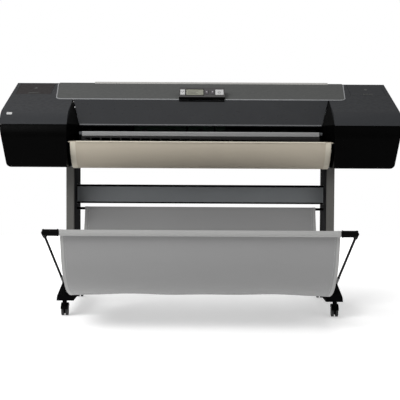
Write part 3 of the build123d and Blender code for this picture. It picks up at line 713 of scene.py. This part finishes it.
def rounded(x0, x1, y0, y1, radius, steps=4):
    """Outline of a rectangle with round corners."""
    points = []
    for i, (x, y) in enumerate([(x1, y1), (x0, y1), (x0, y0), (x1, y0)]):
        cx = x - radius if x == x1 else x + radius
        cy = y - radius if y == y1 else y + radius
        for k in range(steps + 1):
            angle = math.radians(90 * i + 90 * k / steps)
            points.append((cx + radius * math.cos(angle), cy + radius * math.sin(angle)))
    return points


def disc(x, y, radius, sides=24):
    """Outline of a circle."""
    return [(x + radius * math.cos(2 * math.pi * i / sides), y + radius * math.sin(2 * math.pi * i / sides))
            for i in range(sides)]


def prism(bm, outline, low, high, place):
    """Closed solid with an outline, from low to high in the place function's third direction."""
    rings = [[bm.verts.new(place(a, b, t)) for a, b in outline] for t in (low, high)]
    bm.faces.new(rings[0])
    bm.faces.new(rings[1][::-1])
    for i in range(len(outline)):
        j = (i + 1) % len(outline)
        bm.faces.new((rings[0][i], rings[1][i], rings[1][j], rings[0][j]))


def skin(bm, rings):
    """Faces between rings of the same number of corners, closed at both ends."""
    sides = len(rings[0])
    for a, b in zip(rings, rings[1:]):
        for k in range(sides):
            m = (k + 1) % sides
            bm.faces.new((a[k], a[m], b[m], b[k]))
    bm.faces.new(rings[0][::-1])
    bm.faces.new(rings[-1])


def tube(bm, points, radius, sides, up=Vector((0, 0, 1))):
    """Closed round bar along a line of points."""
    rings = []
    for i, point in enumerate(points):
        tangent = (points[min(i + 1, len(points) - 1)] - points[max(i - 1, 0)]).normalized()
        side = tangent.cross(up).normalized()
        across = side.cross(tangent)
        ring = []
        for k in range(sides):
            angle = 2 * math.pi * k / sides
            out = side * math.cos(angle) + across * math.sin(angle)
            ring.append(bm.verts.new(point + out * radius * MM))
        rings.append(ring)
    skin(bm, rings)


def add_piece(name, build, material, body, edge=0.0):
    """A piece made by build(bm), which rides on a CAD body. Its edges are rounded by edge millimetres."""
    mesh = bpy.data.meshes.new(name)
    bm = bmesh.new()
    build(bm)
    bmesh.ops.recalc_face_normals(bm, faces=bm.faces)
    bm.to_mesh(mesh)
    bm.free()
    mesh.materials.append(material)
    mesh.shade_smooth()
    mesh.set_sharp_from_angle(angle=SHARP_ANGLE)
    piece = bpy.data.objects.new(name, mesh)
    bpy.context.scene.collection.objects.link(piece)
    if edge:
        soften(piece, edge * MM)
    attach(piece, body)


# Top deck

DECK_FRONT, DECK_BACK = -6.5, 244.0
DECK_FRONT_HALF, DECK_REAR_HALF = 666.0, 686.0
DECK_CORNER = 26.0
BEAD_RADIUS = 3.2
BADGE_LEAN = 37.3
DEGREES_PER_RADIAN = 57.3
DOOR_X = 784
DROP_Y, DROP_RADIUS = 170, 9


def deck_edge():
    """Points along the sides and the front of the raised deck, in X and depth."""
    corner = [(-DECK_FRONT_HALF + DECK_CORNER - DECK_CORNER * math.cos(math.radians(a)),
               DECK_FRONT + DECK_CORNER - DECK_CORNER * math.sin(math.radians(a))) for a in range(0, 91, 10)]
    left = [(-DECK_REAR_HALF, DECK_BACK), *corner]
    return left + [(-x, y) for x, y in left[::-1]]


def deck_highlight_bead(bm):
    """Rounded moulding along the edge of the deck, in a light grey that paints the highlight line round the
    deck's edge.
    """
    tube(bm, [on_slope(x, y, 0.6) for x, y in deck_edge()], BEAD_RADIUS, 10, SLOPE_NORMAL)


def ridge_highlight_strip(bm):
    """Strip along the rear ridge, over the paper entry, with a thin lip that lies on the deck. Its pale grey
    is a painted highlight where the ridge catches the top light.
    """
    lip = [(y, slope_z(y) + lift) for y, lift in ((224, -0.5), (224, 0.9), (226, 1.5), (247, 1.7))]
    crest = [(251, 1050.5), (255, 1052), (262, 1052), (266, 1050), (268, 1045), (268, 1041)]
    prism(bm, lip + crest, -512, 612, along_x)


def badge(bm):
    """Plain rounded plate on the nose of the left end."""
    flat = rounded(-858, -834, 0, 16, 3)
    wrapped = [(x, BADGE_LEAN + (y - 8) / NOSE_RADIUS * DEGREES_PER_RADIAN) for x, y in flat]
    prism(bm, wrapped, -0.2, 1.4, on_nose)


def door_ribs(x):
    """Finger ribs near the front edge of the ink door at x, and a raised drop shape."""
    def build(bm):
        for i in range(4):
            y = 84 + 5 * i
            prism(bm, rounded(x - 24, x + 24, y, y + 2, 0.9, 3), -0.2, 0.9, on_slope)
        angles = [math.radians(a) for a in range(150, 391, 20)]
        drop = [(x + DROP_RADIUS * math.cos(a), DROP_Y + DROP_RADIUS * math.sin(a)) for a in angles]
        drop.append((x, DROP_Y + 2 * DROP_RADIUS))
        prism(bm, drop, -0.2, 0.7, on_slope)

    return build


add_piece("deck_highlight_bead", deck_highlight_bead, bead_highlight_grey, "frame")
add_piece("ridge_highlight_strip", ridge_highlight_strip, ridge_highlight_grey, "frame", 0.8)
add_piece("corner_plate", badge, key_light, "frame", 0.4)
for word, x in (("left", -DOOR_X), ("right", DOOR_X)):
    add_piece(f"{word}_door_ribs", door_ribs(x), deck_reflection_grey, f"{word}_ink_door", 0.25)


# Window and exit

def window_highlight_lip(bm):
    """Rounded pull edge along the bottom of the window, in a lighter grey that paints the highlight along
    the lip.
    """
    tube(bm, [at(x, -152.2, 836.8) for x in (-540, -180, 180, 540)], 3.0, 12)


def window_shade_inset(bm):
    """Black inset at the top of the window, under the control panel: painted shadow of the panel on the
    window.
    """
    prism(bm, rounded(-99, 109, WINDOW_RUN - 12, WINDOW_RUN - 1.5, 2, 3), -0.5, 0.5, on_window)


def panel_shade_skirt(bm):
    """Black skirt in the gap under the control panel: painted shade under the panel's front edge."""
    outline = [(-16, 958.8), (-16, 968.5), (-11, 968.5), (-4, 959), (-4, 955), (-10, 955)]
    prism(bm, outline, -100, 110, along_x)


add_piece("window_highlight_lip", window_highlight_lip, lip_highlight_grey, "window")
add_piece("window_shade_inset", window_shade_inset, gloss_black, "window", 0.2)
add_piece("panel_shade_skirt", panel_shade_skirt, gloss_black, "frame", 0.6)


# Control panel marks

DISPLAY = (-71, 14, 14, 68)
DISPLAY_BAR = 2.5
# How far the marks reach out of the panel's face: they start inside the keys.
KEY_TOP = (1.4, 2.0)


def panel_frame(bm):
    """Raised frame round the display, made of four bars."""
    x0, x1, v0, v1 = DISPLAY
    w = DISPLAY_BAR
    for bar in ((x0, x1, v0, v0 + w), (x0, x1, v1 - w, v1), (x0, x0 + w, v0, v1), (x1 - w, x1, v0, v1)):
        prism(bm, rounded(*bar, 1.0, 3), -0.2, 1.3, on_panel)


def menu_lines(bm):
    """Bars on the display that stand for a generic menu."""
    for i, width in enumerate((52, 38, 46)):
        prism(bm, rounded(-61, -61 + width, 51 - 11 * i, 53 - 11 * i, 0.9, 3), -0.7, -0.3, on_panel)


def arrow_mark(x, v, way):
    """Arrow head that points up or down a key."""
    def build(bm):
        prism(bm, [(x - 4, v - 3 * way), (x + 4, v - 3 * way), (x, v + 4 * way)], *KEY_TOP, on_panel)

    return build


def ring_mark(x, v):
    """Ring with a gap at the top and a bar in it."""
    def build(bm):
        for k in range(10):
            a, b = math.radians(-235 + 29 * k), math.radians(-206 + 29 * k)
            corners = ((6, a), (8, a), (8, b), (6, b))
            prism(bm, [(x + r * math.cos(t), v + r * math.sin(t)) for r, t in corners], *KEY_TOP, on_panel)
        prism(bm, rounded(x - 1, x + 1, v + 1, v + 9, 0.8, 3), *KEY_TOP, on_panel)

    return build


def tick_mark(x, v):
    """Tick made of two bars."""
    def build(bm):
        prism(bm, [(x - 6, v), (x - 4.5, v + 2), (x - 1, v - 3), (x - 1, v - 6)], *KEY_TOP, on_panel)
        prism(bm, [(x - 1, v - 6), (x - 1, v - 3), (x + 5, v + 7), (x + 7, v + 5.5)], *KEY_TOP, on_panel)

    return build


add_piece("display_frame", panel_frame, dark, "frame", 0.3)
add_piece("display_menu", menu_lines, ink_mark, "frame")
add_piece("menu_mark", arrow_mark(27, 42, 1), key_light, "menu_button")
add_piece("cancel_mark", arrow_mark(54, 42, -1), key_light, "cancel_button")
add_piece("select_mark", tick_mark(-84, 41), ink_mark, "select_button")
add_piece("power_mark", ring_mark(86, 38), ink_mark, "power_button")


# Roll cover and stand

ROLL_CENTRE, ROLL_RADIUS = (-86.5, 799.1), 157.7
ROLL_FIRST, ROLL_LAST = 194.5, 264.0
BAND_STEPS = 16
BRACE_HALF = 574.5
BOLT_PLACES = ((57.5, 498), (57.5, 540), (0, 622), (115, 622), (0, 170), (115, 170))
ARM_X = 596.0
ARM_FOOT, ARM_RUN = (-290.0, 145.0), (-0.9166, 0.3997)
FRONT_BAR = (-900, 411)


def on_roll(a, b, t):
    """Point at x = a on the roll cover's arc, at an angle of b degrees, t outside it."""
    angle, radius = math.radians(b), ROLL_RADIUS + t
    return at(a, ROLL_CENTRE[0] + radius * math.cos(angle), ROLL_CENTRE[1] + radius * math.sin(angle))


def roll_band(bm, x0, x1, low, high):
    """Closed band from x0 to x1 that follows the roll cover's arc, from low to high above it."""
    rings = []
    for i in range(BAND_STEPS + 1):
        angle = ROLL_FIRST + (ROLL_LAST - ROLL_FIRST) * i / BAND_STEPS
        corners = ((x0, low), (x1, low), (x1, high), (x0, high))
        rings.append([bm.verts.new(on_roll(x, angle, t)) for x, t in corners])
    skin(bm, rings)


def roll_bands(bm):
    """Lighter bands round both ends of the roll cover."""
    for side in (-1, 1):
        roll_band(bm, side * 551, side * 574.5, -0.5, 0.9)


def roll_grip(bm):
    """Shallow pull lip along the top of the roll cover."""
    prism(bm, [(-241.5, 757), (-243.2, 759), (-243.2, 762), (-241, 763.6), (-238, 763.6), (-238, 757)],
          -548, 548, along_x)


def brace_shade_trims(bm):
    """Black trims along the top and the bottom of the brace's face, which paint the shade lines along its
    edges.
    """
    for z0, z1 in ((553.5, 562.6), (475.4, 482.5)):
        outline = [(39, z0 + 1), (39, z1 - 1), (40.2, z1), (42, z1), (42, z0), (40.2, z0)]
        prism(bm, outline, -BRACE_HALF, BRACE_HALF, along_x)


def leg_bolts(bm):
    """Button-head bolts on the outer faces of the legs."""
    for side in (-1, 1):
        for y, z in BOLT_PLACES:
            prism(bm, disc(y, z, 7), side * 612.8, side * 615.5, along_x)
            prism(bm, disc(y, z, 5.2), side * 615.5, side * 616.6, along_x)


def bolt_socket_shades(bm):
    """Black hexagons on the bolt heads, which paint the shade in their sockets."""
    for side in (-1, 1):
        for y, z in BOLT_PLACES:
            prism(bm, disc(y, z, 2.6, 6), side * 616.4, side * 616.8, along_x)


def arm_sleeves(bm):
    """Bright sleeves on the lower ends of the basket's arms."""
    for x in (-ARM_X, ARM_X):
        ends = [at(x, ARM_FOOT[0] + ARM_RUN[0] * d, ARM_FOOT[1] + ARM_RUN[1] * d) for d in (22, 24, 90, 92)]
        tube(bm, ends, 6.3, 16)


def bar_collars(bm):
    """Rounded collars where the front bar enters its elbows."""
    for side in (-1, 1):
        for x0, x1, radius in ((538, 544, 14.2), (594, 598, 14.0)):
            prism(bm, disc(*FRONT_BAR, radius, 28), side * x0, side * x1, along_x)


add_piece("roll_cover_bands", roll_bands, band_grey, "roll_cover", 0.4)
add_piece("roll_cover_grip", roll_grip, band_grey, "roll_cover", 0.5)
add_piece("brace_shade_trims", brace_shade_trims, matte_black, "frame", 0.3)
add_piece("leg_bolts", leg_bolts, steel, "frame", 0.5)
add_piece("leg_bolt_socket_shades", bolt_socket_shades, matte_black, "frame")
add_piece("arm_sleeves", arm_sleeves, silver, "basket")
add_piece("bar_collars", bar_collars, black_paint, "basket", 0.8)


# Casters

CASTER_PLACES = {
    "front_left": (-590, -300), "front_right": (590, -300),
    "rear_left": (-590, 300), "rear_right": (590, 300),
}
CASTER_TRAIL, AXLE_Z = 14, 25
# Distances of the caps' steps from the middle of a twin wheel.
CAP_INNER, CAP_RIM, CAP_CROWN = 11.9, 13.6, 15.3
CAP_STUDS, STUD_CIRCLE = 5, 12.2


def wheel_caps(x, y):
    """Stepped hub caps on both faces of a twin wheel."""
    def build(bm):
        for side in (-1, 1):
            prism(bm, disc(y, AXLE_Z, 15.5, 32), x + side * CAP_INNER, x + side * CAP_RIM, along_x)
            prism(bm, disc(y, AXLE_Z, 9, 28), x + side * CAP_RIM, x + side * CAP_CROWN, along_x)
            for k in range(CAP_STUDS):
                angle = math.radians(360 // CAP_STUDS * k + 18)
                spot = (y + STUD_CIRCLE * math.cos(angle), AXLE_Z + STUD_CIRCLE * math.sin(angle))
                prism(bm, disc(*spot, 1.6, 12), x + side * CAP_RIM, x + side * 14.3, along_x)

    return build


def brake_lever(x, y):
    """Foot lever behind the hood of a caster."""
    def build(bm):
        outline = [(y + 21, 45), (y + 25, 49), (y + 36, 42.5), (y + 38, 38.5), (y + 34, 37.5), (y + 25, 42)]
        prism(bm, outline, x - 9, x + 9, along_x)
        for k in range(3):
            prism(bm, [(y + 27 + 3 * k, 46.2 - 1.8 * k), (y + 28.2 + 3 * k, 47.2 - 1.8 * k),
                       (y + 29 + 3 * k, 45.0 - 1.8 * k)], x - 7, x + 7, along_x)

    return build


for word, (x, y) in CASTER_PLACES.items():
    centre = (x, y + CASTER_TRAIL)
    add_piece(f"{word}_wheel_caps", wheel_caps(*centre), hub_grey, f"{word}_wheel", 0.4)
    add_piece(f"{word}_brake_lever", brake_lever(*centre), hub_grey, f"{word}_fork", 0.5)


# Back panel

SCREW_X, SCREW_Z = (-780, -390, 0, 390, 780), (664, 1008)
BACK = 270.0


def screw_cross_shades(bm):
    """Black crosses on the heads of the back panel's screws, which paint the shade in their cross recesses.
    """
    for x in SCREW_X:
        for z in SCREW_Z:
            for w, h in ((2.6, 0.5), (0.5, 2.6)):
                outline = [(x - w, z - h), (x + w, z - h), (x + w, z + h), (x - w, z + h)]
                prism(bm, outline, BACK + 2.3, BACK + 2.5, along_y)


def port_plate(bm):
    """Raised plate round the sockets for data cables."""
    across = [(12, 108, 694, 700), (12, 108, 722, 728)]
    upright = [(12, 20, 694, 728), (100, 108, 694, 728), (56, 64, 694, 728)]
    for bar in across + upright:
        prism(bm, rounded(*bar, 1.5, 3), BACK - 0.3, BACK + 2.2, along_y)


def port_sockets(bm):
    """Dark sockets set in the plate."""
    for x0, x1 in ((21, 55), (65, 99)):
        prism(bm, rounded(x0, x1, 701, 721, 1.5, 3), BACK - 0.3, BACK + 0.5, along_y)


def back_ribs(bm):
    """Moulded ribs across the back panel, between the vents and the floor pan."""
    for z in (780, 800, 820):
        prism(bm, rounded(-760, 760, z, z + 5, 2.4, 4), BACK - 0.3, BACK + 1.6, along_y)


add_piece("screw_cross_shades", screw_cross_shades, matte_black, "frame")
add_piece("port_plate", port_plate, dark, "frame", 0.4)
add_piece("port_sockets", port_sockets, matte_black, "frame", 0.2)
add_piece("back_ribs", back_ribs, charcoal, "frame", 0.4)
